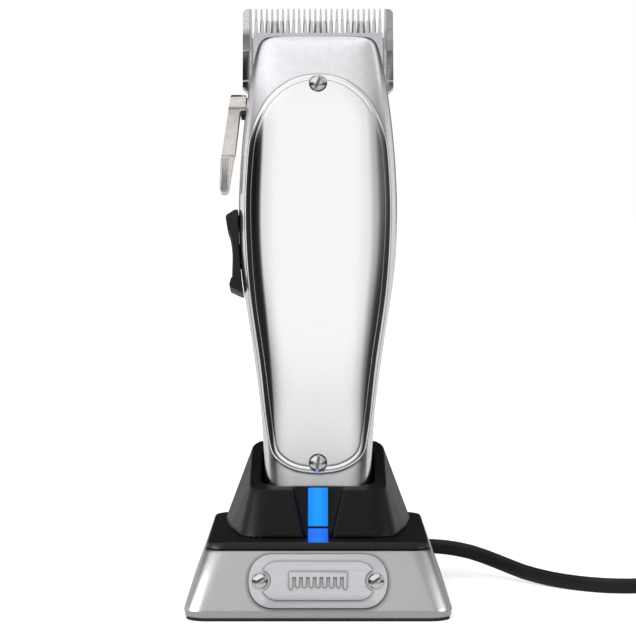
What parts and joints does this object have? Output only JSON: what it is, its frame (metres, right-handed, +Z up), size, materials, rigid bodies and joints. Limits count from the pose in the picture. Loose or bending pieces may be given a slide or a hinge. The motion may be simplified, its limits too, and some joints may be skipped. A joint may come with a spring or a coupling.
{
  "type": "hair clipper",
  "caption": "Cordless hair clipper with a taper lever and a thumb switch, standing in a lit charging stand with a flat lead and a plug-in power supply.",
  "frame": {"origin": "middle of the underside of the stand's non-slip pad, on the surface that it stands on", "axes": "+Z up, -Y towards the user and the front of the clipper, +X to the right as seen from the front"},
  "size_m": [0.3017, 0.0882, 0.1845],
  "materials": {
    "base_silver": "satin",
    "deck_black": "satin",
    "cradle_black": "fine texture",
    "light_blue": "frosted, lit",
    "badge_chrome": "polished",
    "inner_plastic": "moulded",
    "screw_steel": "satin",
    "pad_rubber": "matte",
    "board_green": "solder mask",
    "lamp_white": "clear epoxy",
    "contact_gold": "plated",
    "spring_steel": "bright",
    "jack_black": "gloss",
    "lead_black": "satin vinyl",
    "adapter_black": "fine texture",
    "housing_silver": "satin polished",
    "cover_chrome": "mirror",
    "tail_black": "moulded",
    "cell_wrap": "shrink film",
    "motor_steel": "zinc",
    "magnet_grey": "ferrite",
    "bush_dark": "dark",
    "blade_steel": "ground",
    "carrier_steel": "pressed",
    "winding_copper": "lacquered",
    "lever_nickel": "satin nickel",
    "switch_black": "satin"
  },
  "bodies": {
    "stand": {"base_shell": "base_silver", "top_deck": "deck_black", "cradle": "cradle_black", "light_bar": "light_blue", "light_foot": "light_blue", "nameplate": "badge_chrome", "nameplate_screws": "badge_chrome", "base_plate": "inner_plastic", "base_plate_screws": "screw_steel", "nonslip_pad": "pad_rubber", "charge_board": "board_green", "light_source": "lamp_white", "pin_block": "inner_plastic", "pin_spring_left": "spring_steel", "pin_spring_right": "spring_steel", "inlet_jack": "jack_black", "lead_plug": "lead_black", "lead_relief": "lead_black", "lead_cord": "lead_black", "lead_coil": "lead_black", "lead_cord_end": "lead_black", "adapter_relief": "lead_black", "adapter_case": "adapter_black", "adapter_prongs": "contact_gold"},
    "pin_left": {"charge_pin_left": "contact_gold"},
    "pin_right": {"charge_pin_right": "contact_gold"},
    "clipper": {"housing": "housing_silver", "front_cover": "cover_chrome", "cover_screw_top": "badge_chrome", "cover_screw_bottom": "badge_chrome", "tail_cap": "tail_black", "contact_pads": "contact_gold", "power_jack": "motor_steel", "battery_cell": "cell_wrap", "cell_holder": "inner_plastic", "control_board": "board_green", "switch_unit": "inner_plastic", "motor_can": "motor_steel", "motor_end_bell": "inner_plastic", "motor_magnets": "magnet_grey", "motor_bush": "contact_gold", "lever_bush": "bush_dark"},
    "blade": {"comb_blade": "blade_steel", "blade_carrier": "carrier_steel", "blade_screws": "screw_steel", "tension_spring": "spring_steel", "spring_screws": "screw_steel"},
    "cutter": {"cutter_blade": "blade_steel", "drive_yoke": "inner_plastic"},
    "rotor": {"motor_shaft": "motor_steel", "rotor_core": "winding_copper", "commutator": "contact_gold", "crank": "motor_steel"},
    "lever": {"taper_lever": "lever_nickel", "cam_shaft": "motor_steel", "lever_screw": "screw_steel"},
    "switch": {"switch_saddle": "switch_black", "switch_carriage": "switch_black"}
  },
  "joints": [
    {"name": "clipper_lift", "type": "slide", "parent": "stand", "child": "clipper", "axis": [0, 0.225, 0.9744], "range_m": [0, 0.06]},
    {"name": "pin_press_left", "type": "slide", "parent": "stand", "child": "pin_left", "axis": [0, 0.225, 0.9744], "range_m": [-0.0012, 0], "stiffness_N_per_m": 200, "springref_m": 0.0005, "deforming": ["pin_spring_left"]},
    {"name": "pin_press_right", "type": "slide", "parent": "stand", "child": "pin_right", "axis": [0, 0.225, 0.9744], "range_m": [-0.0012, 0], "stiffness_N_per_m": 200, "springref_m": 0.0005, "deforming": ["pin_spring_right"]},
    {"name": "lever_turn", "type": "hinge", "parent": "clipper", "child": "lever", "pos_m": [-0.024, 0.02497, 0.15189], "axis": [1, 0, 0], "range_deg": [0, 50]},
    {"name": "blade_adjust", "type": "slide", "parent": "clipper", "child": "blade", "axis": [0, 0.225, 0.9744], "range_m": [-0.0022, 0]},
    {"name": "cutter_stroke", "type": "slide", "parent": "clipper", "child": "cutter", "axis": [1, 0, 0], "range_m": [-0.0012, 0.0012]},
    {"name": "motor_spin", "type": "hinge", "parent": "clipper", "child": "rotor", "pos_m": [0, 0.02002, 0.13046], "axis": [0, 0.225, 0.9744], "continuous": true},
    {"name": "switch_slide", "type": "slide", "parent": "clipper", "child": "switch", "axis": [0, 0.225, 0.9744], "range_m": [-0.004, 0]}
  ],
  "couplings": [
    {"joint": "lever_turn", "follows": "blade_adjust", "rad_per_m": -396.6}
  ]
}
